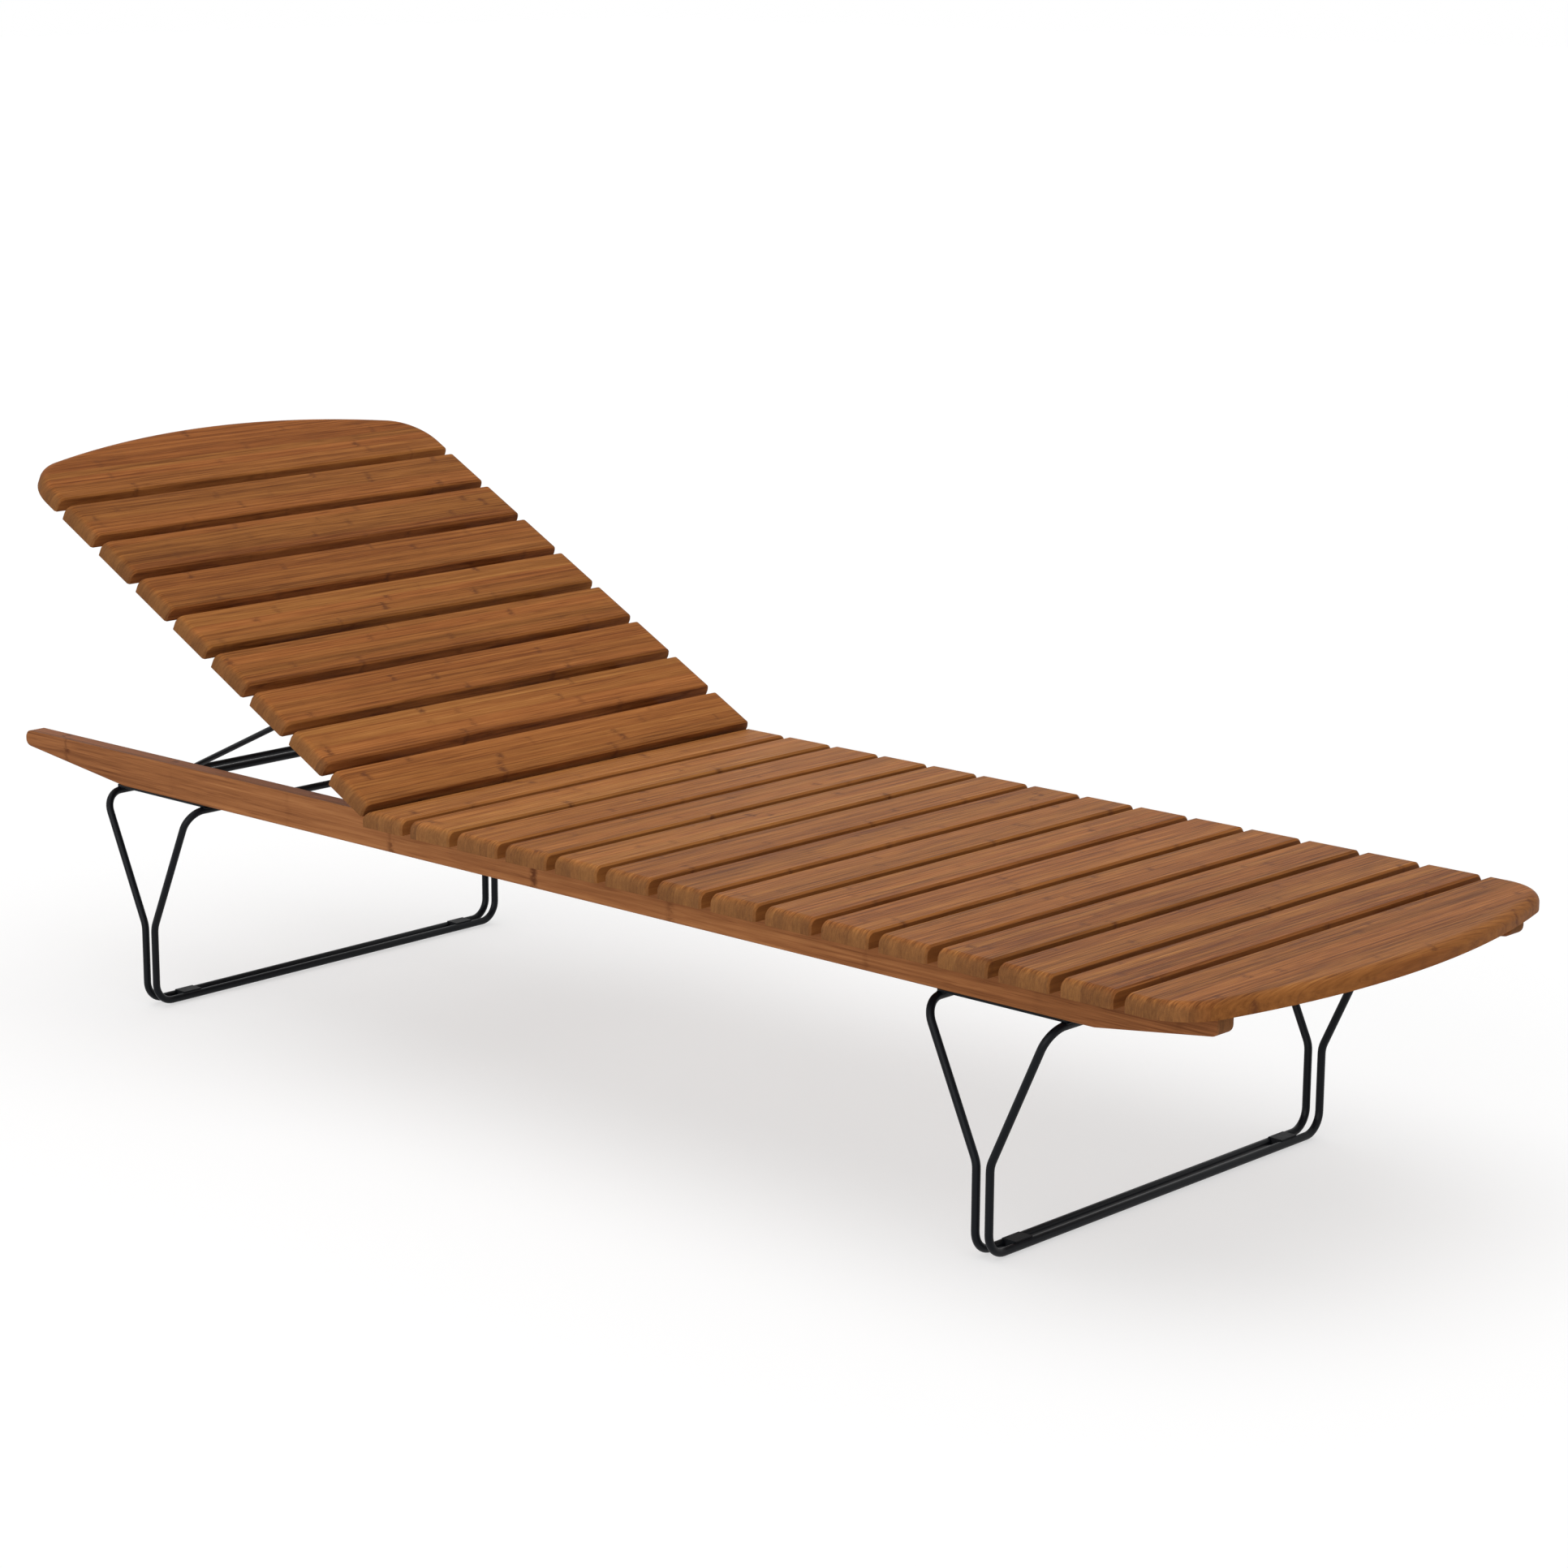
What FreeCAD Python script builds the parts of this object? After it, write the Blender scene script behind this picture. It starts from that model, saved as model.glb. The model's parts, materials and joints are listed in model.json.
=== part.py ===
# Slatted sun lounger on two bent rod legs, with a backrest held up by a hinged stay.
# Millimetres. X runs across the width, Y from the foot end (-Y) to the head end (+Y), Z is up.
# The floor is Z = 0 and the origin is the middle of the footprint.
# Left is +X, on the left hand of a person who lies on it.

import FreeCAD, Part
import math
import os
import Sketcher

os.makedirs("parts", exist_ok=True)
doc = FreeCAD.newDocument("sun_lounger")
Vector = FreeCAD.Vector
Rotation = FreeCAD.Rotation
Placement = FreeCAD.Placement

# Driving sizes

sheet = doc.addObject("Spreadsheet::Sheet", "Sizes")

SIZES = [
    # slats
    ("seat_slat_count", "15"),
    ("back_slat_count", "9"),
    ("slat_pitch", "87"),
    ("slat_width", "72"),
    ("slat_length", "716"),
    ("slat_thickness", "20.5"),
    ("slat_end_roundover", "12"),
    ("slat_edge_chamfer", "2.5"),
    ("foot_slat_depth", "134"),
    ("foot_arc_radius", "1150"),
    ("head_slat_depth", "127"),
    ("head_arc_radius", "1250"),
    ("end_corner_radius", "70"),
    ("end_cut_margin", "100"),
    ("cut_overrun", "5"),
    # side rails
    ("rail_inset", "60"),
    ("rail_thickness", "28"),
    ("rail_height", "47"),
    ("rail_head_length", "790"),
    ("rail_foot_inset", "52"),
    ("head_taper_length", "219"),
    ("head_end_height", "21.3"),
    ("head_end_radius", "10"),
    ("foot_taper_length", "168"),
    ("foot_end_height", "23.6"),
    ("foot_end_radius", "11"),
    ("rail_edge_chamfer", "1.6"),
    # rod legs
    ("rod_diameter", "10"),
    ("rod_spacing", "20"),
    ("leg_overhang", "22"),
    ("leg_top_height", "292.5"),
    ("splay_start_height", "113"),
    ("splay_length", "90"),
    ("floor_bend_radius", "27"),
    ("splay_bend_radius", "35"),
    ("top_bend_radius", "27"),
    ("front_leg_distance", "998.8"),
    ("rear_leg_distance", "492.1"),
    # plates that join the leg rods to the rails
    ("plate_thickness", "3"),
    ("plate_width", "26"),
    ("plate_end_margin", "12"),
    ("plate_corner_radius", "6"),
    # floor glides
    ("glide_drop", "2"),
    ("glide_length", "30"),
    ("glide_width", "21"),
    ("glide_base_width", "12"),
    ("glide_rise", "1.6"),
    ("glide_inset", "48"),
    ("glide_edge_radius", "0.8"),
    # backrest battens and hinge
    ("rest_angle", "27.75"),
    ("raised_angle", "43"),
    ("hinge_inset", "17.75"),
    ("hinge_drop", "10.9"),
    ("hinge_gap", "12"),
    ("batten_rail_gap", "4"),
    ("batten_thickness", "25"),
    ("batten_depth", "34"),
    ("batten_setback", "3"),
    ("batten_end_inset", "53"),
    ("batten_end_radius", "8"),
    ("strap_thickness", "3.5"),
    ("strap_width", "13"),
    ("strap_eye_diameter", "16"),
    ("strap_knee_length", "20"),
    ("strap_knee_drop", "14"),
    ("strap_length", "150"),
    ("bolt_diameter", "8"),
    ("bolt_head_diameter", "16"),
    ("bolt_head_height", "4"),
    ("bolt_head_chamfer", "1.5"),
    ("bolt_key_width", "5"),
    ("bolt_key_depth", "2.5"),
    ("bolt_head_gap", "0.3"),
    ("bolt_grip", "20"),
    ("bolt_end_gap", "1"),
    # stay
    ("stay_rod_diameter", "8"),
    ("stay_batten_gap", "9"),
    ("stay_leg_length", "314.5"),
    ("stay_bar_rise", "25.6"),
    ("stay_ratio", "1.865"),
    ("stay_pivot_distance", "268.8"),
    ("stay_pin_length", "26"),
    ("stay_pin_end_gap", "1"),
    ("stay_pin_bend_radius", "8"),
    ("stay_bar_bend_radius", "16"),
    # catch racks
    ("rack_stay_gap", "32"),
    ("rack_thickness", "6"),
    ("rack_end_margin", "17.5"),
    ("rack_saddle_depth", "2.5"),
    ("rack_bar_gap", "0.5"),
    ("rack_notch_depth", "2.2"),
    ("rack_notch_clearance", "0.3"),
    ("low_stop_angle", "19"),
    ("high_stop_angle", "36.5"),
    # fits
    ("hole_clearance", "0.05"),
]


def stay_leg_angle(angle):
    """How steeply the stay's legs slope down when the backrest stands at an angle."""
    return "((stay_slope + (stay_ratio - 1) * (%s - rest_angle)) * 1 deg)" % angle


def bar_along(angle):
    """Where the stay's cross bar is along the lounger when the backrest stands at an angle."""
    turned = "(%s * 1 deg)" % angle
    pivot = "hinge_y + stay_pivot_distance * cos%s - pivot_rise * sin%s" % (turned, turned)
    return "(%s + stay_leg_length * cos%s)" % (pivot, stay_leg_angle(angle))


def pivot_up(angle):
    """The height of the stay's pivot when the backrest stands at an angle."""
    turned = "(%s * 1 deg)" % angle
    return "hinge_z + stay_pivot_distance * sin%s + pivot_rise * cos%s" % (turned, turned)


def bar_up(angle):
    """The height of the stay's cross bar when the backrest stands at an angle."""
    return "(%s - stay_leg_length * sin%s)" % (pivot_up(angle), stay_leg_angle(angle))


def rack_crest(along):
    """The racks' top line between their end notches, just under the path of the stay's cross bar."""
    return "(bar_raised_up + rack_slope * (%s - bar_raised_along) - stay_radius - rack_bar_gap)" % along


DERIVED = [
    ("total_length", "(seat_slat_count - 1) * slat_pitch + foot_slat_depth + rail_head_length"),
    ("seat_end", "total_length / 2 - rail_head_length"),
    ("rod_radius", "rod_diameter / 2"),
    ("rod_centre_low", "glide_drop + rod_radius"),
    ("rod_top", "glide_drop + leg_top_height"),
    ("front_leg_along", "seat_end - front_leg_distance"),
    ("rear_leg_along", "seat_end + rear_leg_distance"),
    ("rod_centre_high", "rod_top - rod_radius"),
    ("rail_bottom", "rod_top + plate_thickness"),
    ("rail_top", "rail_bottom + rail_height"),
    ("rail_outer_half", "slat_length / 2 - rail_inset"),
    ("rail_inner_half", "rail_outer_half - rail_thickness"),
    ("rail_centre_half", "rail_outer_half - rail_thickness / 2"),
    ("leg_half_span", "rail_outer_half + leg_overhang"),
    ("batten_outer_half", "rail_inner_half - batten_rail_gap"),
    ("batten_inner_half", "batten_outer_half - batten_thickness"),
    ("stay_half_span", "batten_inner_half - stay_batten_gap"),
    ("rack_half_span", "stay_half_span - rack_stay_gap"),
    ("hinge_y", "seat_end - hinge_inset"),
    ("hinge_z", "rail_top - hinge_drop"),
    ("back_start", "hinge_inset + hinge_gap"),
    ("batten_start", "back_start + batten_setback"),
    ("batten_end", "back_start + (back_slat_count - 1) * slat_pitch + head_slat_depth - batten_end_inset"),
    ("pivot_rise", "hinge_drop - batten_depth / 2"),
    ("bolt_radius", "bolt_diameter / 2"),
    ("bolt_hole_radius", "bolt_radius + hole_clearance"),
    ("stay_radius", "stay_rod_diameter / 2"),
    ("pin_hole_radius", "stay_radius + hole_clearance"),
    ("rod_seat_radius", "rod_radius + hole_clearance"),
    ("rack_notch_radius", "stay_radius + rack_notch_clearance"),
    ("plate_length", "2 * (splay_length + plate_end_margin)"),
    ("stay_fall", pivot_up("rest_angle") + " - rod_top - stay_bar_rise"),
    ("stay_slope", "asin(stay_fall / stay_leg_length) / 1 deg"),
    ("bar_flat_along", bar_along("0")),
    ("bar_flat_up", bar_up("0")),
    ("bar_raised_along", bar_along("raised_angle")),
    ("bar_raised_up", bar_up("raised_angle")),
    ("rack_slope", "(bar_flat_up - bar_raised_up) / (bar_flat_along - bar_raised_along)"),
    ("rack_foot_end", "min(rear_leg_along - splay_length; bar_raised_along) - rack_end_margin"),
    ("rack_head_end", "max(rear_leg_along + splay_length; bar_flat_along) + rack_end_margin"),
]

row = 1
for name, text in SIZES:
    sheet.set("A%d" % row, name)
    sheet.set("B%d" % row, text)
    sheet.setAlias("B%d" % row, name)
    row += 1
for name, formula in DERIVED:
    sheet.set("A%d" % row, name)
    sheet.set("B%d" % row, "=" + formula)
    sheet.setAlias("B%d" % row, name)
    row += 1
doc.recompute()


def size(name):
    """The value of one named cell."""
    return float(getattr(sheet, name))


def bound(text):
    """An expression over cell names, with each name pointed at the sheet."""
    words = []
    word = ""
    for letter in text + " ":
        if letter.isalnum() or letter in "_.":
            word += letter
        else:
            if word[:1].isalpha() and word in CELL_NAMES:
                word = "Sizes." + word
            words.append(word + letter)
            word = ""
    return "".join(words).strip()


CELL_NAMES = set([name for name, text in SIZES] + [name for name, text in DERIVED])


def bind(thing, path, text):
    thing.setExpression(path, bound(text))


def number(thing, text):
    value = thing.evalExpression(bound(text))
    return float(getattr(value, "Value", value))


# Sketch and body helpers

def new_body(name):
    body = doc.addObject("PartDesign::Body", name)
    body.Label = name
    return body


def new_sketch(body, name, role, offset=None):
    """A sketch on one of the body's own origin planes, moved by bound distances in the plane's axes."""
    sketch = body.newObject("Sketcher::SketchObject", name)
    plane = [each for each in body.Origin.OriginFeatures if each.Role == role][0]
    sketch.AttachmentSupport = [(plane, "")]
    sketch.MapMode = "FlatFace"
    for axis, text in (offset or {}).items():
        bind(sketch, ".AttachmentOffset.Base." + axis, text)
    return sketch


def pin_point(sketch, edge, end, across, up):
    """Ties one end of a sketch edge to bound coordinates."""
    for kind, text, axis in (("DistanceX", across, -2), ("DistanceY", up, -1)):
        if text == "0":
            sketch.addConstraint(Sketcher.Constraint("PointOnObject", edge, end, axis))
        else:
            value = number(sketch, text)
            index = sketch.addConstraint(Sketcher.Constraint(kind, -1, 1, edge, end, value))
            bind(sketch, "Constraints[%d]" % index, text)


def draw_outline(sketch, corners):
    """A closed outline of straight lines through bound corners."""
    places = [Vector(number(sketch, a), number(sketch, b), 0) for a, b in corners]
    first = sketch.GeometryCount
    total = len(places)
    for index in range(total):
        sketch.addGeometry(Part.LineSegment(places[index], places[(index + 1) % total]))
    for index in range(total):
        after = first + (index + 1) % total
        sketch.addConstraint(Sketcher.Constraint("Coincident", first + index, 2, after, 1))
    for index, (across, up) in enumerate(corners):
        pin_point(sketch, first + index, 1, across, up)


def draw_circle(sketch, across, up, radius):
    """A circle with a bound centre and radius."""
    centre = Vector(number(sketch, across), number(sketch, up), 0)
    circle = Part.Circle(centre, Vector(0, 0, 1), number(sketch, radius))
    edge = sketch.addGeometry(circle)
    index = sketch.addConstraint(Sketcher.Constraint("Radius", edge, number(sketch, radius)))
    bind(sketch, "Constraints[%d]" % index, radius)
    pin_point(sketch, edge, 3, across, up)


def pad(body, name, sketch, length):
    feature = body.newObject("PartDesign::Pad", name)
    feature.Profile = sketch
    bind(feature, "Length", length)
    doc.recompute()
    return feature


def pocket(body, name, sketch, length, upwards=False):
    feature = body.newObject("PartDesign::Pocket", name)
    feature.Profile = sketch
    feature.Reversed = upwards
    bind(feature, "Length", length)
    doc.recompute()
    return feature


def cut_through(body, name, sketch):
    feature = body.newObject("PartDesign::Pocket", name)
    feature.Profile = sketch
    feature.Type = "ThroughAll"
    feature.Midplane = True
    doc.recompute()
    return feature


def turn(body, kind, name, sketch):
    """A revolution or groove about the sketch's upright axis."""
    feature = body.newObject("PartDesign::" + kind, name)
    feature.Profile = sketch
    feature.ReferenceAxis = (sketch, ["V_Axis"])
    feature.Angle = 360
    doc.recompute()
    return feature


def picked_edges(base, wanted):
    edges = base.Shape.Edges
    return ["Edge%d" % (index + 1) for index, edge in enumerate(edges) if wanted(edge)]


def round_edges(body, name, base, radius, wanted):
    """A fillet on each edge of the last feature that the test picks out."""
    feature = body.newObject("PartDesign::Fillet", name)
    feature.Base = (base, picked_edges(base, wanted))
    bind(feature, "Radius", radius)
    doc.recompute()
    return feature


def ease_edges(body, name, base, width, wanted):
    """A small chamfer on each edge of the last feature that the test picks out."""
    feature = body.newObject("PartDesign::Chamfer", name)
    feature.Base = (base, picked_edges(base, wanted))
    bind(feature, "Size", width)
    doc.recompute()
    return feature


def place(thing, across="0", along="0", up="0"):
    for axis, text in (("x", across), ("y", along), ("z", up)):
        if text != "0":
            bind(thing, ".Placement.Base." + axis, text)


def place_on_backrest(thing, across, reach, rise):
    """Puts a piece in the backrest, at a reach along it and a rise above its hinge, at the rest angle."""
    thing.Placement = Placement(Vector(0, 0, 0), Rotation(Vector(1, 0, 0), size("rest_angle")))
    bind(thing, ".Placement.Rotation.Angle", "rest_angle")
    turned_along = "hinge_y + (%s) * cos(rest_angle * 1 deg) - (%s) * sin(rest_angle * 1 deg)" % (reach, rise)
    turned_up = "hinge_z + (%s) * sin(rest_angle * 1 deg) + (%s) * cos(rest_angle * 1 deg)" % (reach, rise)
    place(thing, across, turned_along, turned_up)


def mirrored(source, name):
    """The same piece on the other side of the lounger."""
    copy = doc.addObject("Part::Mirroring", name)
    copy.Label = name
    copy.Source = source
    copy.Normal = Vector(1, 0, 0)
    copy.Base = Vector(0, 0, 0)
    return copy


def group_of(name, source, places):
    """One node that holds separate copies of the same small piece."""
    copies = []
    for spot in places:
        copy = source.Shape.copy()
        copy.Placement = spot.multiply(source.Placement)
        copies.append(copy)
    group = doc.addObject("Part::Feature", name)
    group.Label = name
    group.Shape = Part.makeCompound(copies)
    return group


def on_level(edge, height):
    box = edge.BoundBox
    tolerance = size("hole_clearance")
    return abs(box.ZMin - height) < tolerance and abs(box.ZMax - height) < tolerance


def is_upright(edge):
    box = edge.BoundBox
    return box.ZLength > size("slat_thickness") / 2 and box.XLength + box.YLength < size("hole_clearance")


# Slats

def soften_long_side(body, name, rounded, along):
    """Eases a long top edge and the two upright corners that it runs into."""

    def on_side(edge):
        box = edge.BoundBox
        flat = box.YLength < size("hole_clearance") and abs(box.YMin - along) < size("hole_clearance")
        return flat and box.ZMax > size("slat_edge_chamfer")

    return ease_edges(body, name, rounded, "slat_edge_chamfer", on_side)


def straight_slat(name, rounded_far_side=False):
    """A slat with its near edge at Y = 0. Its ends are well rounded over and its long edges only eased."""
    body = new_body(name)
    sketch = new_sketch(body, name + "_outline", "XY_Plane")
    half = "slat_length / 2"
    draw_outline(sketch, [("-" + half, "0"), (half, "0"), (half, "slat_width"), ("-" + half, "slat_width")])
    blank = pad(body, name + "_blank", sketch, "slat_thickness")
    top = size("slat_thickness")

    def end_top(edge):
        box = edge.BoundBox
        is_far_side = rounded_far_side and box.YMin > size("slat_width") / 2
        return on_level(edge, top) and (box.XLength < size("hole_clearance") or is_far_side)

    rounded = round_edges(body, name + "_roundover", blank, "slat_end_roundover", end_top)
    near = soften_long_side(body, name + "_near_edge", rounded, 0)
    if not rounded_far_side:
        soften_long_side(body, name + "_far_edge", near, size("slat_width"))
    return body


def end_slat(name, depth, radius):
    """A wide slat with a bowed, rounded-over free edge towards +Y."""
    body = new_body(name)
    outline = new_sketch(body, name + "_outline", "XY_Plane")
    half = "slat_length / 2"
    draw_outline(outline, [("-" + half, "0"), (half, "0"), (half, depth), ("-" + half, depth)])
    pad(body, name + "_blank", outline, "slat_thickness")

    centre = depth + " - " + radius
    outside = radius + " + end_cut_margin"
    bow = new_sketch(body, name + "_bow", "YZ_Plane", {"x": centre})
    low = "-cut_overrun"
    high = "slat_thickness + cut_overrun"
    draw_outline(bow, [(radius, low), (outside, low), (outside, high), (radius, high)])
    bowed = turn(body, "Groove", name + "_bow_cut", bow)

    edge_middle = size("slat_width") / 2
    corners = round_edges(body, name + "_corners", bowed, "end_corner_radius",
                          lambda edge: is_upright(edge) and edge.BoundBox.YMin > edge_middle)
    top = size("slat_thickness")

    def free_top(edge):
        return on_level(edge, top) and edge.BoundBox.YMax > size("hole_clearance")

    rounded = round_edges(body, name + "_roundover", corners, "slat_end_roundover", free_top)
    soften_long_side(body, name + "_near_edge", rounded, 0)
    return body


def seat_slats():
    """The seat's slats. The first is rounded over along the backrest too, which gives that room to rise."""
    slats = []
    for index in range(int(size("seat_slat_count")) - 1):
        slat = straight_slat("seat_slat_%02d" % (index + 1), rounded_far_side=index == 0)
        place(slat, along="seat_end - slat_width - %d * slat_pitch" % index, up="rail_top")
        slats.append(slat)
    foot = end_slat("foot_slat", "foot_slat_depth", "foot_arc_radius")
    foot.Placement = Placement(Vector(0, 0, 0), Rotation(Vector(0, 0, 1), 180))
    place(foot, along="seat_end - (seat_slat_count - 1) * slat_pitch", up="rail_top")
    slats.append(foot)
    return slats


def backrest_slats():
    slats = []
    for index in range(int(size("back_slat_count")) - 1):
        slat = straight_slat("backrest_slat_%02d" % (index + 1))
        place_on_backrest(slat, "0", "back_start + %d * slat_pitch" % index, "hinge_drop")
        slats.append(slat)
    head = end_slat("head_slat", "head_slat_depth", "head_arc_radius")
    place_on_backrest(head, "0", "back_start + (back_slat_count - 1) * slat_pitch", "hinge_drop")
    slats.append(head)
    return slats


# Side rails

def side_rails():
    """The left rail, with its underside swept up at both ends, and its mirror image."""
    name = "side_rail_left"
    body = new_body(name)
    profile = new_sketch(body, "rail_profile", "YZ_Plane", {"z": "rail_inner_half"})
    foot_end = "rail_foot_inset - total_length / 2"
    head_end = "total_length / 2"
    draw_outline(profile, [
        (foot_end, "0"),
        (foot_end, "-foot_end_height"),
        (foot_end + " + foot_taper_length", "-rail_height"),
        (head_end + " - head_taper_length", "-rail_height"),
        (head_end, "-head_end_height"),
        (head_end, "0"),
    ])
    blank = pad(body, "rail_blank", profile, "rail_thickness")

    low_limit = -size("rail_height") + size("rail_edge_chamfer")

    def crosses(edge):
        return edge.BoundBox.XLength > size("rail_thickness") / 2

    def at_head(edge):
        return crosses(edge) and edge.BoundBox.YMin > size("total_length") / 2 - size("rail_edge_chamfer")

    def at_foot(edge):
        low_corner = low_limit < edge.BoundBox.ZMax < -size("foot_end_height") / 2
        return crosses(edge) and low_corner and edge.BoundBox.YMax < -size("rail_head_length")

    head_round = round_edges(body, "rail_head_rounding", blank, "head_end_radius", at_head)
    foot_round = round_edges(body, "rail_foot_rounding", head_round, "foot_end_radius", at_foot)
    ease_edges(body, "rail_edge_chamfers", foot_round, "rail_edge_chamfer",
               lambda edge: edge.BoundBox.XLength < size("hole_clearance"))

    hinge = new_sketch(body, "rail_hinge_place", "YZ_Plane", {"z": "rail_inner_half"})
    draw_circle(hinge, "hinge_y", "-hinge_drop", "bolt_hole_radius")
    pocket(body, "rail_hinge_hole", hinge, "bolt_grip + bolt_end_gap", upwards=True)

    place(body, up="rail_top")
    return [body, mirrored(body, "side_rail_right")]


# Rod legs

def rounded_path(points, radii):
    """A wire of straight runs joined by arcs. One radius belongs to each inner point."""
    edges = []
    start = points[0]
    for index in range(1, len(points) - 1):
        corner = points[index]
        before = (points[index - 1] - corner).normalize()
        after = (points[index + 1] - corner).normalize()
        half_angle = before.getAngle(after) / 2
        reach = radii[index - 1] / math.tan(half_angle)
        arc_start = corner + before * reach
        arc_end = corner + after * reach
        to_centre = (before + after).normalize()
        middle = corner + to_centre * (radii[index - 1] / math.sin(half_angle) - radii[index - 1])
        edges.append(Part.makeLine(start, arc_start))
        edges.append(Part.Arc(arc_start, middle, arc_end).toShape())
        start = arc_end
    edges.append(Part.makeLine(start, points[-1]))
    return Part.Wire(edges)


def rod_along(points, radii, rod_radius):
    """A solid round rod along a rounded path."""
    path = rounded_path(points, radii)
    direction = points[1] - points[0]
    section = Part.Wire([Part.makeCircle(rod_radius, points[0], direction)])
    return path.makePipeShell([section], True, True)


def leg_rod(name, leg_centre, facing):
    """One closed loop of rod: a floor run, two uprights that splay out, and a top run under the rails."""
    span = size("leg_half_span")
    low = size("rod_centre_low")
    high = size("rod_centre_high")
    knee = size("glide_drop") + size("splay_start_height")
    near = size("rod_spacing") / 2
    far = size("splay_length")
    points = [
        Vector(0, near, low),
        Vector(span, near, low),
        Vector(span, near, knee),
        Vector(span, far, high),
        Vector(0, far, high),
    ]
    radii = [size("floor_bend_radius"), size("splay_bend_radius"), size("top_bend_radius")]
    half = rod_along(points, radii, size("rod_radius"))
    other_half = half.mirror(Vector(0, 0, 0), Vector(1, 0, 0))
    rod = doc.addObject("Part::Feature", name)
    rod.Label = name
    rod.Shape = half.fuse(other_half).removeSplitter()
    rod.Placement = Placement(Vector(0, 0, 0), Rotation(Vector(0, 0, 1), 0 if facing > 0 else 180))
    place(rod, along=leg_centre)
    return rod


def leg_rods():
    rods = []
    for leg in ("front_leg", "rear_leg"):
        rods.append(leg_rod(leg + "_foot_side_rod", leg + "_along", -1))
        rods.append(leg_rod(leg + "_head_side_rod", leg + "_along", 1))
    return rods


def leg_plate(name, leg_centre):
    """A flat steel strip under the left rail, with rounded corners, that the rods' top runs are welded to."""
    body = new_body(name)
    outline = new_sketch(body, name + "_outline", "XY_Plane")
    inner = "-plate_width / 2"
    outer = "plate_width / 2"
    end = "plate_length / 2"
    draw_outline(outline, [(inner, "-" + end), (outer, "-" + end), (outer, end), (inner, end)])
    blank = pad(body, name + "_blank", outline, "plate_thickness")

    def corner(edge):
        return edge.BoundBox.XLength + edge.BoundBox.YLength < size("hole_clearance")

    round_edges(body, name + "_corners", blank, "plate_corner_radius", corner)
    place(body, "rail_centre_half", leg_centre, "rod_top")
    return body


def leg_plates():
    plates = []
    for leg in ("front_leg", "rear_leg"):
        plate = leg_plate(leg + "_plate_left", leg + "_along")
        plates.append(plate)
        plates.append(mirrored(plate, leg + "_plate_right"))
    return plates


def floor_glide(name, leg_centre):
    """A moulded clip pressed between the two floor rods, with lips over them and a foot under them."""
    inner_end = "leg_half_span - glide_inset - glide_length"
    halves = []
    for word, width, low, height in (("foot", "glide_base_width", "0", "rod_centre_low"),
                                     ("cap", "glide_width", "rod_centre_low", "rod_radius + glide_rise")):
        half = doc.addObject("Part::Box", "%s_%s" % (name, word))
        bind(half, "Length", "glide_length")
        bind(half, "Width", width)
        bind(half, "Height", height)
        place(half, inner_end, "%s - %s / 2" % (leg_centre, width), low)
        halves.append(half)
    block = doc.addObject("Part::MultiFuse", name + "_block")
    block.Shapes = halves
    doc.recompute()
    soft = doc.addObject("Part::Fillet", name + "_soft_block")
    soft.Base = block
    radius = size("glide_edge_radius")
    top = block.Shape.BoundBox.ZMax
    along = [index + 1 for index, edge in enumerate(block.Shape.Edges)
             if edge.BoundBox.XLength > radius and (on_level(edge, top) or on_level(edge, 0))]
    soft.Edges = [(index, radius, radius) for index in along]
    saddles = []
    for word, side in (("foot", "-"), ("head", "+")):
        saddle = doc.addObject("Part::Cylinder", "%s_%s_saddle" % (name, word))
        bind(saddle, "Radius", "rod_seat_radius")
        bind(saddle, "Height", "glide_length + 2 * cut_overrun")
        saddle.Placement = Placement(Vector(0, 0, 0), Rotation(Vector(0, 1, 0), 90))
        rod_along_floor = "%s %s rod_spacing / 2" % (leg_centre, side)
        place(saddle, inner_end + " - cut_overrun", rod_along_floor, "rod_centre_low")
        saddles.append(saddle)
    pair = doc.addObject("Part::MultiFuse", name + "_saddles")
    pair.Shapes = saddles
    glide = doc.addObject("Part::Cut", name)
    glide.Label = name
    glide.Base = soft
    glide.Tool = pair
    doc.recompute()
    return glide


def floor_glides():
    glides = []
    for leg in ("front", "rear"):
        glide = floor_glide(leg + "_glide_left", leg + "_leg_along")
        glides.append(glide)
        glides.append(mirrored(glide, leg + "_glide_right"))
    return glides


# Hinge bolts

def hexagon(across_flats):
    """Corner texts of a six-sided outline about the origin."""
    flat = across_flats + " / 2"
    tip = across_flats + " / 2 / cos(30 deg)"
    side = across_flats + " / 2 * tan(30 deg)"
    right = [(flat, "-" + side), (flat, side)]
    left = [("-" + flat, side), ("-" + flat, "-" + side)]
    return right + [("0", tip)] + left + [("0", "-" + tip)]


def hinge_bolts():
    """Low-headed bolts that the straps' eyes turn on, driven into the rails from inside."""
    body = new_body("hinge_bolt")
    outline = new_sketch(body, "bolt_section", "XZ_Plane")
    shank = "bolt_head_gap + batten_rail_gap + bolt_grip"
    draw_outline(outline, [
        ("0", "bolt_head_height"),
        ("bolt_head_diameter / 2 - bolt_head_chamfer", "bolt_head_height"),
        ("bolt_head_diameter / 2", "bolt_head_height - bolt_head_chamfer"),
        ("bolt_head_diameter / 2", "0"),
        ("bolt_radius", "0"),
        ("bolt_radius", "-(" + shank + ")"),
        ("0", "-(" + shank + ")"),
    ])
    turn(body, "Revolution", "bolt_turned", outline)
    key = new_sketch(body, "bolt_key", "XY_Plane", {"z": "bolt_head_height"})
    draw_outline(key, hexagon("bolt_key_width"))
    pocket(body, "bolt_socket", key, "bolt_key_depth")
    places = []
    head = size("batten_outer_half") - size("bolt_head_gap")
    for side in (-1, 1):
        spot = Vector(side * head, size("hinge_y"), size("hinge_z"))
        places.append(Placement(spot, Rotation(Vector(0, 1, 0), -90 * side)))
    return group_of("hinge_bolts", body, places)


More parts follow.
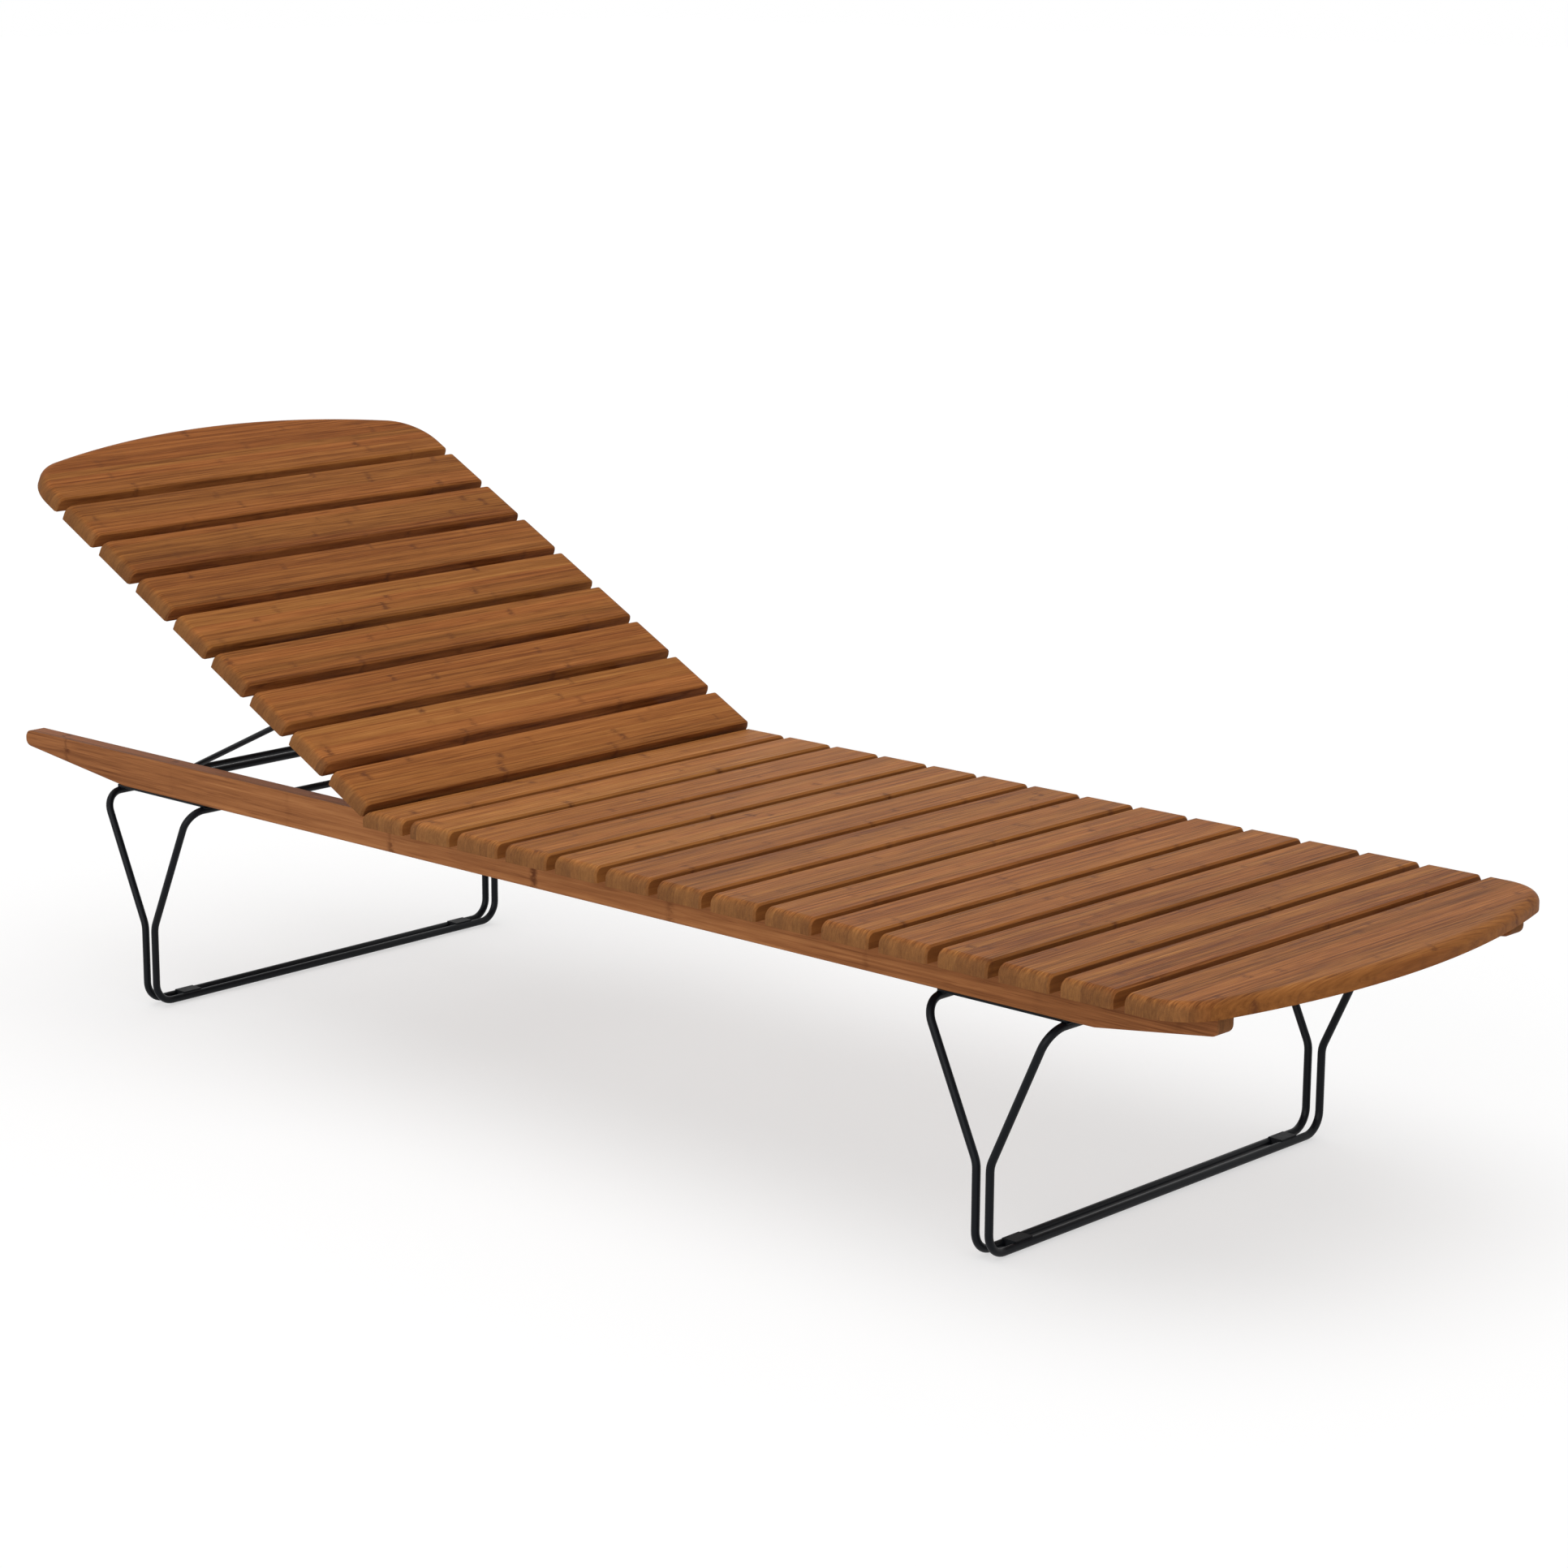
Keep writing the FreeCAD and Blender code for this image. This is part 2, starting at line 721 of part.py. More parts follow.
# Backrest battens and hinge straps

def battens():
    """The left batten, whose origin is on the hinge line, and its mirror image."""
    name = "backrest_batten_left"
    body = new_body(name)
    profile = new_sketch(body, "batten_profile", "YZ_Plane")
    start = "batten_start"
    end = "batten_end"
    top = "hinge_drop"
    bottom = "hinge_drop - batten_depth"
    draw_outline(profile, [(start, top), (start, bottom), (end, bottom), (end, top)])
    blank = pad(body, "batten_blank", profile, "batten_thickness")

    def low_end(edge):
        box = edge.BoundBox
        return box.XLength > size("batten_thickness") / 2 and box.ZMax < size("pivot_rise")

    round_edges(body, "batten_low_ends", blank, "batten_end_radius", low_end)

    pivot = new_sketch(body, "batten_pivot_place", "YZ_Plane")
    draw_circle(pivot, "stay_pivot_distance", "pivot_rise", "pin_hole_radius")
    pin_depth = "stay_pin_length + stay_half_span - batten_inner_half + stay_pin_end_gap"
    pocket(body, "batten_pivot_hole", pivot, pin_depth, upwards=True)

    place_on_backrest(body, "batten_inner_half", "0", "0")
    return [body, mirrored(body, "backrest_batten_right")]


def hinge_straps():
    """The left strap: an eye on the hinge bolt and a cranked bar along the batten's outer face."""
    name = "hinge_strap_left"
    thickness = "strap_thickness"
    half = "strap_width / 2"
    crank_length = "sqrt(strap_knee_length ^ 2 + strap_knee_drop ^ 2)"

    def disc(part, radius, reach, rise):
        piece = doc.addObject("Part::Cylinder", part)
        bind(piece, "Radius", radius)
        bind(piece, "Height", thickness)
        piece.Placement = Placement(Vector(0, 0, 0), Rotation(Vector(0, 1, 0), 90))
        place(piece, "0", reach, rise)
        return piece

    eye = disc("strap_eye", "strap_eye_diameter / 2", "0", "0")
    knee = disc("strap_knee", half, "strap_knee_length", "-strap_knee_drop")
    end = disc("strap_end", half, "strap_length", "-strap_knee_drop")

    crank_angle = math.degrees(math.atan2(size("strap_knee_drop"), size("strap_knee_length")))
    crank = doc.addObject("Part::Box", "strap_crank")
    bind(crank, "Length", thickness)
    bind(crank, "Width", crank_length)
    bind(crank, "Height", "strap_width")
    slope = Rotation(Vector(1, 0, 0), -crank_angle)
    crank.Placement = Placement(slope.multVec(Vector(0, 0, -size("strap_width") / 2)), slope)

    bar = doc.addObject("Part::Box", "strap_bar")
    bind(bar, "Length", thickness)
    bind(bar, "Width", "strap_length - strap_knee_length")
    bind(bar, "Height", "strap_width")
    place(bar, "0", "strap_knee_length", "-strap_knee_drop - " + half)

    plain = doc.addObject("Part::MultiFuse", "strap_plain")
    plain.Shapes = [eye, knee, end, crank, bar]
    plain.Refine = True

    bolt_hole = disc("strap_bolt_hole", "bolt_hole_radius", "0", "0")
    strap = doc.addObject("Part::Cut", name)
    strap.Label = name
    strap.Base = plain
    strap.Tool = bolt_hole
    place_on_backrest(strap, "batten_outer_half", "0", "0")
    doc.recompute()
    return [strap, mirrored(strap, "hinge_strap_right")]


# Stay and catch racks

def support_stay():
    """A bent rod: two pins in the battens, two legs and a cross bar that drops into the racks."""
    span = size("stay_half_span")
    pin = span + size("stay_pin_length")
    length = size("stay_leg_length")
    points = [
        Vector(pin, 0, 0),
        Vector(span, 0, 0),
        Vector(span, length, 0),
        Vector(0, length, 0),
    ]
    radii = [size("stay_pin_bend_radius"), size("stay_bar_bend_radius")]
    half = rod_along(points, radii, size("stay_radius"))
    other_half = half.mirror(Vector(0, 0, 0), Vector(1, 0, 0))
    stay = doc.addObject("Part::Feature", "support_stay")
    stay.Label = "support_stay"
    stay.Shape = half.fuse(other_half).removeSplitter()
    place_on_backrest(stay, "0", "stay_pivot_distance", "pivot_rise")
    bind(stay, ".Placement.Rotation.Angle", "-stay_slope")
    return stay


def catch_racks():
    """The left rack, a notched flat bar astride the rear leg's two top runs, and its mirror image."""
    name = "catch_rack_left"
    low = "rod_top - rack_saddle_depth"
    body = new_body(name)
    profile = new_sketch(body, "rack_profile", "YZ_Plane", {"z": "rack_half_span - rack_thickness / 2"})
    draw_outline(profile, [
        ("rack_foot_end", low),
        ("rack_head_end", low),
        ("rack_head_end", rack_crest("bar_flat_along")),
        ("bar_flat_along", rack_crest("bar_flat_along")),
        ("bar_raised_along", rack_crest("bar_raised_along")),
        ("rack_foot_end", rack_crest("bar_raised_along")),
    ])
    pad(body, "rack_blank", profile, "rack_thickness")

    cuts = new_sketch(body, "rack_cuts", "YZ_Plane")
    for side in (" - ", " + "):
        draw_circle(cuts, "rear_leg_along" + side + "splay_length", "rod_centre_high", "rod_seat_radius")
    for angle in ("0", "low_stop_angle", "rest_angle", "high_stop_angle", "raised_angle"):
        along = bar_along(angle)
        up = rack_crest(along) + " - rack_notch_depth + rack_notch_radius"
        draw_circle(cuts, along, up, "rack_notch_radius")
    cut_through(body, "rack_notches", cuts)
    return [body, mirrored(body, "catch_rack_right")]


# Build, check and write

nodes = []
nodes += side_rails()
nodes += seat_slats()
nodes += leg_rods()
nodes += leg_plates()
nodes += floor_glides()
nodes += catch_racks()
nodes += battens()
nodes += hinge_straps()
nodes += backrest_slats()
doc.recompute()
nodes.append(hinge_bolts())
nodes.append(support_stay())
doc.recompute()

for thing in doc.Objects:
    if "Invalid" in thing.State or "Error" in thing.State:
        raise RuntimeError("%s did not build: %s" % (thing.Name, thing.State))
for node in nodes:
    if node.Shape.isNull() or not node.Shape.isValid():
        raise RuntimeError("%s has no valid shape" % node.Label)
for node in nodes:
    node.Shape.exportStep("parts/%s.step" % node.Label)
box = Part.makeCompound([node.Shape for node in nodes]).BoundBox
print("nodes", len(nodes))
print("box", box)
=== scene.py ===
# Slatted sun lounger: materials, small fixings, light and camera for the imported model.
# Metres, in the model's own frame: X across the width, Y towards the head end, Z up, the floor at Z = 0.

import json
import math

import bmesh
import bpy
from mathutils import Matrix, Vector


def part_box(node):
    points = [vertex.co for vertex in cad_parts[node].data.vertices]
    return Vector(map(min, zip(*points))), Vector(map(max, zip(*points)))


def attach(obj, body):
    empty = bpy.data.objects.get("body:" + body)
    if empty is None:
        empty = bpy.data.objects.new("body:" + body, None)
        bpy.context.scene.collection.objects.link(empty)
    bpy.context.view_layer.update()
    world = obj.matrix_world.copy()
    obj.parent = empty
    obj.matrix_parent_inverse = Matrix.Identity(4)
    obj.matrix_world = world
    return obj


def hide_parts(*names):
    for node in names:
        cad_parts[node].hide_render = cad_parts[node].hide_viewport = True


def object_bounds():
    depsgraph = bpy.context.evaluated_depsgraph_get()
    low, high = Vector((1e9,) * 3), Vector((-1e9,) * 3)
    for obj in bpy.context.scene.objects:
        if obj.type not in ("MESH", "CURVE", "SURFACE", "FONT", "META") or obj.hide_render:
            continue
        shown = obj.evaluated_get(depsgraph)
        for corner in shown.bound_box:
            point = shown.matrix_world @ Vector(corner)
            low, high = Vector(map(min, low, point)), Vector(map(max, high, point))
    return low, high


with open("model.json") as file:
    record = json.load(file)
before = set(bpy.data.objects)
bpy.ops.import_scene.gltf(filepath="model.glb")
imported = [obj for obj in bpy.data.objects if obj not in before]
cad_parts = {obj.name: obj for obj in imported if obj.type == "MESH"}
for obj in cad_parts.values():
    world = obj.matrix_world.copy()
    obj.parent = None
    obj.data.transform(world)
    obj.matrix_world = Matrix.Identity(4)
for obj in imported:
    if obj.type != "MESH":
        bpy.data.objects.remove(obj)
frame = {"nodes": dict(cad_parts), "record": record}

cad_low, cad_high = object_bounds()
nodes = frame["nodes"]
scene = bpy.context.scene


def starting(*words):
    return [name for name in nodes if name.startswith(words)]


def containing(word):
    return [name for name in nodes if word in name]


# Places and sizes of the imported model

tilt_joint = frame["record"]["behaviour"]["joints"][0]
HINGE = Vector(tilt_joint["pos_m"])
REST_TILT = math.radians(-tilt_joint["range_deg"][0])
ROD_RADIUS = 0.005
ROD_OFFSET = 0.090
PLATES = containing("leg_plate")

# Slats are counted from nought at the hinge, and the foot slat and the head slat are the last ones
SEAT_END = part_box("seat_slat_01")[1][1]
SLAT_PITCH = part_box("seat_slat_01")[1][1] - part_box("seat_slat_02")[1][1]
SLAT_WIDTH = 0.072
LAST_SEAT_SLAT = 14
LAST_BACK_SLAT = 8

# The first slat's distance from the hinge along the backrest, and two heights at right angles to it
BACK_SLAT_START = 0.02975
BATTEN_UNDERSIDE = -0.0231
STRAP_RISE = -0.014

# Each taper of the rails: where it starts, where it ends, and the underside's height at its end
RAIL_TAPERS = [(-0.851, -1.019, 0.3209), (0.852, 1.071, 0.3232)]


# Node trees

class Tree:
    """A node tree, with short calls for the nodes that are used here."""

    def __init__(self, tree):
        self.tree = tree

    def node(self, kind, **settings):
        made = self.tree.nodes.new(kind)
        for name, value in settings.items():
            setattr(made, name, value)
        return made

    def feed(self, socket, value):
        """Sets a socket to a number, or links another node's output to it."""
        if isinstance(value, bpy.types.NodeSocket):
            self.tree.links.new(value, socket)
        else:
            socket.default_value = value

    def math(self, operation, *values):
        made = self.node("ShaderNodeMath", operation=operation)
        for socket, value in zip(made.inputs, values):
            self.feed(socket, value)
        return made.outputs[0]

    def remap(self, value, low, high, to_low=0.0, to_high=1.0):
        """Takes low to to_low and high to to_high, with a soft start and end."""
        made = self.node("ShaderNodeMapRange", interpolation_type="SMOOTHSTEP")
        for socket, each in zip(made.inputs, (value, low, high, to_low, to_high)):
            self.feed(socket, each)
        return made.outputs[0]

    def weigh(self, start, *terms):
        """A start value plus each term's distance from one half, times its weight."""
        total = start
        for value, weight in terms:
            centred = self.math("SUBTRACT", value, 0.5)
            total = self.math("MULTIPLY_ADD", centred, weight, total)
        return total

    def combine(self, x, y, z):
        made = self.node("ShaderNodeCombineXYZ")
        for socket, value in zip(made.inputs, (x, y, z)):
            self.feed(socket, value)
        return made.outputs[0]

    def split(self, vector):
        made = self.node("ShaderNodeSeparateXYZ")
        self.feed(made.inputs[0], vector)
        return dict(zip("XYZ", made.outputs))

    def noise(self, vector, scale=1.0, detail=2.0, roughness=0.5):
        made = self.node("ShaderNodeTexNoise")
        self.feed(made.inputs["Vector"], vector)
        made.inputs["Scale"].default_value = scale
        made.inputs["Detail"].default_value = detail
        made.inputs["Roughness"].default_value = roughness
        return made.outputs["Fac"]

    def random(self, x, y=0.0, z=0.0):
        """A value between 0 and 1 that differs for each whole number in x, y or z."""
        made = self.node("ShaderNodeTexWhiteNoise", noise_dimensions="3D")
        self.feed(made.inputs["Vector"], self.combine(x, y, z))
        return made.outputs["Value"]

    def ramp(self, value, stops):
        made = self.node("ShaderNodeValToRGB")
        elements = made.color_ramp.elements
        while len(elements) < len(stops):
            elements.new(0.5)
        for element, (place, colour) in zip(elements, stops):
            element.position = place
            element.color = (*colour, 1.0)
        self.feed(made.inputs[0], value)
        return made.outputs["Color"]

    def mix(self, factor, first, second, blend="MIX"):
        made = self.node("ShaderNodeMix", data_type="RGBA", blend_type=blend)
        colours = [socket for socket in made.inputs if socket.type == "RGBA"]
        self.feed(made.inputs["Factor"], factor)
        for socket, value in zip(colours, (first, second)):
            if isinstance(value, tuple):
                value = (*value, 1.0)
            self.feed(socket, value)
        return [socket for socket in made.outputs if socket.type == "RGBA"][0]


class Shader(Tree):
    """A material's node tree and the sockets of its surface."""

    def __init__(self, name):
        self.material = bpy.data.materials.new(name)
        self.material.use_nodes = True
        super().__init__(self.material.node_tree)
        self.sockets = self.tree.nodes["Principled BSDF"].inputs

    def bump(self, height, strength, distance):
        made = self.node("ShaderNodeBump")
        made.inputs["Strength"].default_value = strength
        made.inputs["Distance"].default_value = distance
        self.feed(made.inputs["Height"], height)
        self.feed(self.sockets["Normal"], made.outputs["Normal"])


# Wood: a slat is glued up from upright strips, and each strip shows the dark joints of its stalk

STRIPS_TO_A_SLAT = 6
STRIP_WIDTH = SLAT_PITCH / STRIPS_TO_A_SLAT
STRIP_UNEVENNESS = STRIP_WIDTH * 0.9
UNEVEN_SCALE = 38.0
STRIP_SHIFT = 5.0
CLOUD_SCALE = 9.0
RAIL_MIDDLE = 0.35

# Noises drawn out along the fibres: scale along, scale across, detail and roughness
FIBRES = {
    "broad": (1.2, 90.0, 2.0, 0.5),
    "streak": (1.8, 230.0, 4.0, 0.65),
    "line": (3.5, 170.0, 2.0, 0.5),
    "fine": (8.0, 430.0, 4.0, 0.7),
    "wave": (45.0, 150.0, 3.0, 0.65),
}
STREAK_EDGES = (0.30, 0.70)
LINE_WIDTH = 0.030

# How far each pattern moves the tone
STRIP_WEIGHT = 0.26
SLAT_WEIGHT = 0.10
BROAD_WEIGHT = 0.42
STREAK_WEIGHT = 0.36
FINE_WEIGHT = 1.30
CLOUD_WEIGHT = 0.20
LINE_WEIGHT = -0.18

# Seeds that keep the random values of strips and slats apart
STRIP_TONE_SEED = 3.0
SLAT_TONE_SEED = 7.0
HUE_SEED = 5.0
JOINT_SHIFT_SEED = 11.0
JOINT_PLACE_SEED = 1.0
JOINT_STRENGTH_SEED = 2.0

# Joints of the stalk: lengths, then places as shares of the spacing, then strengths
JOINT_SPACING = 0.25
JOINT_REACH = 0.010
JOINT_CORE = 0.0045
JOINT_WANDER = 0.012
JOINT_PLACES = (0.3, 0.7)
JOINT_STRENGTHS = (0.10, 0.75)
SMUDGE_EDGES = (0.42, 0.58)
CORE_STRENGTH = 0.45

# Glue lines between the strips
SEAM_WIDTH = 0.03
SEAM_STRENGTH = 0.25

# How squarely a face has to turn to count as an end, as a side, and as a side that looks at the next slat
# and gets painted shade
END_FACING = (0.25, 0.95)
SIDE_FACING = (0.30, 0.90)
GAP_SHADE_FACING = (0.75, 0.98)

# End grain
END_STRENGTH = 0.75
LAYERS_ACROSS = 420.0
LAYERS_DEEP = 40.0
SPECKLE_SCALE = 1100.0
END_MIDDLE_TONE = 0.50
END_STRIP_WEIGHT = 0.30
LAYER_WEIGHT = 0.5
SPECKLE_WEIGHT = 0.5

# Gloss, and how far the patterns stand out in relief
FACE_ROUGHNESS = 0.36
FINE_ROUGHNESS = 0.20
END_ROUGHNESS = 0.15
BROAD_RELIEF = 0.3
STREAK_RELIEF = 0.2
FINE_RELIEF = 0.6
LINE_DENT = 0.5
DENT_RELIEF = -0.3

WOOD_TONES = [
    (0.00, (0.120, 0.036, 0.010)),
    (0.25, (0.205, 0.070, 0.019)),
    (0.50, (0.300, 0.108, 0.029)),
    (0.75, (0.385, 0.150, 0.041)),
    (1.00, (0.490, 0.205, 0.062)),
]
END_TONES = [
    (0.00, (0.085, 0.039, 0.019)),
    (0.45, (0.170, 0.076, 0.030)),
    (1.00, (0.280, 0.132, 0.048)),
]
JOINT_TONE = (0.125, 0.042, 0.016)
REDDISH = (1.03, 0.955, 0.97)
WARM = (1.01, 0.985, 0.985)
GOLDEN = (0.985, 1.035, 1.00)
# The rails' tints are paler and bluer: partly their own greyer colour, and partly a painted sheen, the
# whitish haze of their reflection put into the colour
SHEEN_PALE_BROWN = (1.04, 1.05, 1.50)
SHEEN_PALE_GOLDEN = (1.02, 1.10, 1.50)


class Wood(Shader):
    """Glued strips. U runs along the fibres, v across the strips and w through their depth."""

    def __init__(self, name, along, across, tilted, start, direction, last_slat, depth_grain):
        super().__init__(name)
        coordinates = self.node("ShaderNodeTexCoord")
        place = coordinates.outputs["Object"]
        facing = coordinates.outputs["Normal"]
        if tilted:
            place = self.laid_flat(place, HINGE)
            facing = self.laid_flat(facing, Vector((0.0, 0.0, 0.0)))
        places = self.split(place)
        facings = self.split(facing)
        depth = [axis for axis in "XYZ" if axis not in (along, across)][0]
        self.u = places[along]
        self.v = self.math("MULTIPLY", self.math("SUBTRACT", places[across], start), direction)
        self.w = places[depth]
        self.end_facing = self.math("ABSOLUTE", facings[along])
        self.side_facing = self.math("ABSOLUTE", facings[across])
        self.depth_grain = depth_grain
        self.last_slat = last_slat

        # strips of slightly uneven width, each with its own tone and its own place along the fibres
        uneven = self.noise(self.combine(self.v, 0.0, 0.0), scale=UNEVEN_SCALE, detail=0.0)
        moved = self.weigh(self.v, (uneven, STRIP_UNEVENNESS))
        self.strip_place = self.math("DIVIDE", moved, STRIP_WIDTH)
        self.strip = self.math("FLOOR", self.strip_place)
        self.strip_tone = self.random(self.strip, STRIP_TONE_SEED)
        self.shifted = self.math("MULTIPLY_ADD", self.strip_tone, STRIP_SHIFT, self.u)
        self.slat = self.math("FLOOR", self.math("DIVIDE", self.v, SLAT_PITCH))
        if last_slat is not None:
            self.slat = self.math("MINIMUM", self.slat, last_slat)

    def laid_flat(self, vector, centre):
        """Turns a place or direction of the tilted backrest down to the level of the seat."""
        turn = self.node("ShaderNodeVectorRotate", rotation_type="X_AXIS")
        self.feed(turn.inputs["Vector"], vector)
        turn.inputs["Center"].default_value = centre
        turn.inputs["Angle"].default_value = -REST_TILT
        return turn.outputs[0]

    def fibres(self, kind):
        along_scale, across_scale, detail, roughness = FIBRES[kind]
        stretched = self.combine(self.math("MULTIPLY", self.shifted, along_scale),
                                 self.math("MULTIPLY", self.v, across_scale),
                                 self.math("MULTIPLY", self.w, across_scale * self.depth_grain))
        return self.noise(stretched, detail=detail, roughness=roughness)

    def joints(self, marks):
        """Joints of the stalk: a soft dark smudge with a short darker line."""
        shift = self.random(self.strip, JOINT_SHIFT_SEED)
        cell_place = self.math("ADD", self.math("DIVIDE", self.u, JOINT_SPACING), shift)
        cell = self.math("FLOOR", cell_place)
        first, last = JOINT_PLACES
        chance = self.random(self.strip, cell, JOINT_PLACE_SEED)
        centre = self.math("MULTIPLY_ADD", chance, last - first, first)
        wave = self.fibres("wave")
        away = self.math("SUBTRACT", self.math("FRACT", cell_place), centre)
        away = self.math("MULTIPLY", away, JOINT_SPACING)
        away = self.math("ABSOLUTE", self.weigh(away, (wave, JOINT_WANDER)))
        near = self.remap(away, JOINT_REACH, 0.0)
        smudge = self.math("MULTIPLY", near, self.remap(wave, *SMUDGE_EDGES))
        core = self.math("MULTIPLY", self.remap(away, JOINT_CORE, 0.0), CORE_STRENGTH)
        faint, strong = JOINT_STRENGTHS
        strength = self.remap(self.random(self.strip, cell, JOINT_STRENGTH_SEED),
                              0.0, 1.0, faint * marks, strong * marks)
        return self.math("MULTIPLY", self.math("MAXIMUM", smudge, core), strength)

    def end_colour(self):
        """End grain is greyer than the face and shows every layer of each strip."""
        across = self.math("MULTIPLY", self.v, LAYERS_ACROSS)
        deep = self.math("MULTIPLY", self.w, LAYERS_DEEP)
        layers = self.noise(self.combine(0.0, across, deep), detail=3.0, roughness=0.6)
        speckle = self.noise(self.combine(self.u, self.v, self.w), scale=SPECKLE_SCALE, detail=2.0)
        tone = self.weigh(END_MIDDLE_TONE, (self.strip_tone, END_STRIP_WEIGHT), (layers, LAYER_WEIGHT),
                          (speckle, SPECKLE_WEIGHT))
        return self.ramp(tone, END_TONES)

    def darkened(self, tone, light_and_tone_fade, painted_gap_shade, darker_ends):
        """Lowers the tone from slat to slat, partly as painted light and partly as tone that differs, paints
        shade on sides between two slats, and lowers it towards a rail's ends.
        """
        # The fade from slat to slat is partly painted light that falls off along the bed, and partly tone
        # that differs from slat to slat
        tone = self.math("MULTIPLY_ADD", self.slat, -light_and_tone_fade, tone)
        # painted shade: the sides that face the next slat are darkened as if the gap shaded them
        if painted_gap_shade:
            between = self.math("MULTIPLY", self.remap(self.side_facing, *GAP_SHADE_FACING),
                                self.math("LESS_THAN", self.slat, self.last_slat))
            tone = self.math("MULTIPLY_ADD", between, -painted_gap_shade, tone)
        if darker_ends:
            towards_end = self.remap(self.math("ABSOLUTE", self.u), RAIL_MIDDLE, cad_high[1])
            tone = self.math("MULTIPLY_ADD", towards_end, -darker_ends, tone)
        return tone


def bamboo(name, along, across, tilted=False, start=0.0, direction=1.0, last_slat=None,
           middle_tone=0.5, contrast=1.0, grain=1.0, depth_grain=0.3, side_grain=1.0,
           marks=1.15, hues=(REDDISH, GOLDEN), sheen=0.04,
           light_and_tone_fade=0.0, painted_gap_shade=0.0, darker_ends=0.0):
    """Laminated bamboo. Along and across name the axes that the fibres and the strips follow.
    Start is where the first strip begins, and direction says which way the strips are counted.
    Contrast weighs the broad patterns, grain the fine one and marks the joints of the stalk.
    Depth_grain is how fine the fibres are through the depth, beside how fine they are across.
    Side_grain weighs every pattern but the joints and glue lines on sides that face across."""
    wood = Wood(name, along, across, tilted, start, direction, last_slat, depth_grain)

    # fibres: soft broad bands, crisp streaks, thin dark lines and a fine texture
    slat_tone = wood.random(wood.slat, SLAT_TONE_SEED)
    broad = wood.fibres("broad")
    streak = wood.remap(wood.fibres("streak"), *STREAK_EDGES)
    from_middle = wood.math("ABSOLUTE", wood.math("SUBTRACT", wood.fibres("line"), 0.5))
    line = wood.remap(from_middle, LINE_WIDTH, 0.0)
    fine = wood.fibres("fine")
    cloud = wood.noise(wood.combine(wood.u, wood.v, wood.w), scale=CLOUD_SCALE)
    tone = wood.weigh(middle_tone, (wood.strip_tone, STRIP_WEIGHT * contrast),
                      (slat_tone, SLAT_WEIGHT * contrast), (broad, BROAD_WEIGHT * contrast),
                      (streak, STREAK_WEIGHT * contrast), (fine, FINE_WEIGHT * grain),
                      (cloud, CLOUD_WEIGHT * contrast))
    tone = wood.math("MULTIPLY_ADD", line, LINE_WEIGHT * contrast, tone)
    kept = wood.remap(wood.side_facing, *SIDE_FACING, 1.0, side_grain)
    tone = wood.math("MULTIPLY_ADD", wood.math("SUBTRACT", tone, middle_tone), kept, middle_tone)
    # painted shade on sides between slats, and a fade from slat to slat that is partly painted light
    tone = wood.darkened(tone, light_and_tone_fade, painted_gap_shade, darker_ends)
    hue = wood.mix(wood.random(wood.strip, HUE_SEED), *hues)
    colour = wood.mix(1.0, wood.ramp(tone, WOOD_TONES), hue, blend="MULTIPLY")

    # joints, then glue lines, then end grain
    joint = wood.joints(marks)
    colour = wood.mix(joint, colour, JOINT_TONE)
    from_edge = wood.math("PINGPONG", wood.strip_place, 0.5)
    seam = wood.remap(from_edge, SEAM_WIDTH, 0.0)
    colour = wood.mix(wood.math("MULTIPLY", seam, SEAM_STRENGTH), colour, JOINT_TONE)
    end = wood.remap(wood.end_facing, *END_FACING)
    colour = wood.mix(wood.math("MULTIPLY", end, END_STRENGTH), colour, wood.end_colour())
    wood.feed(wood.sockets["Base Color"], colour)

    # an oiled face, rougher on the end grain, with the fibres and joints in light relief
    rough = wood.math("MULTIPLY_ADD", fine, FINE_ROUGHNESS, FACE_ROUGHNESS)
    rough = wood.math("MULTIPLY_ADD", end, END_ROUGHNESS, rough)
    wood.feed(wood.sockets["Roughness"], rough)
    wood.sockets["Specular IOR Level"].default_value = sheen
    height = wood.weigh(0.0, (broad, BROAD_RELIEF), (streak, STREAK_RELIEF), (fine, FINE_RELIEF))
    dents = wood.math("ADD", wood.math("MAXIMUM", joint, seam), wood.math("MULTIPLY", line, LINE_DENT))
    height = wood.math("MULTIPLY_ADD", dents, DENT_RELIEF, height)
    wood.bump(height, strength=0.4, distance=0.0006)
    return wood.material


# Steel and plastic

# Lighter is how many times lighter the lightest patches are than the colour itself
PEEL_SCALE = 1400.0
PATCH_SCALE = 22.0
STEEL_LIGHTER = 1.6
STEEL_GLOSS_RANGE = 0.16
STEEL_SHEEN = 0.14
SKIN_SCALE = 2600.0
SCUFF_SCALE = 160.0
PLASTIC_LIGHTER = 2.2
PLASTIC_ROUGHNESS = 0.5
SCUFF_ROUGHNESS = 0.2
PLASTIC_SHEEN = 0.15


def coated_steel(name, colour, roughness, metal=0.0):
    """Satin powder coat with a fine orange-peel skin and a little wear in the gloss."""
    shader = Shader(name)
    place = shader.node("ShaderNodeTexCoord").outputs["Object"]
    peel = shader.noise(place, scale=PEEL_SCALE)
    patches = shader.noise(place, scale=PATCH_SCALE, detail=3.0)
    lighter = tuple(channel * STEEL_LIGHTER for channel in colour)
    shader.feed(shader.sockets["Base Color"], shader.mix(patches, colour, lighter))
    rough = shader.math("MULTIPLY_ADD", patches, STEEL_GLOSS_RANGE, roughness - STEEL_GLOSS_RANGE / 2)
    shader.feed(shader.sockets["Roughness"], rough)
    shader.sockets["Metallic"].default_value = metal
    shader.sockets["Specular IOR Level"].default_value = STEEL_SHEEN
    shader.bump(peel, strength=0.25, distance=0.0002)
    return shader.material


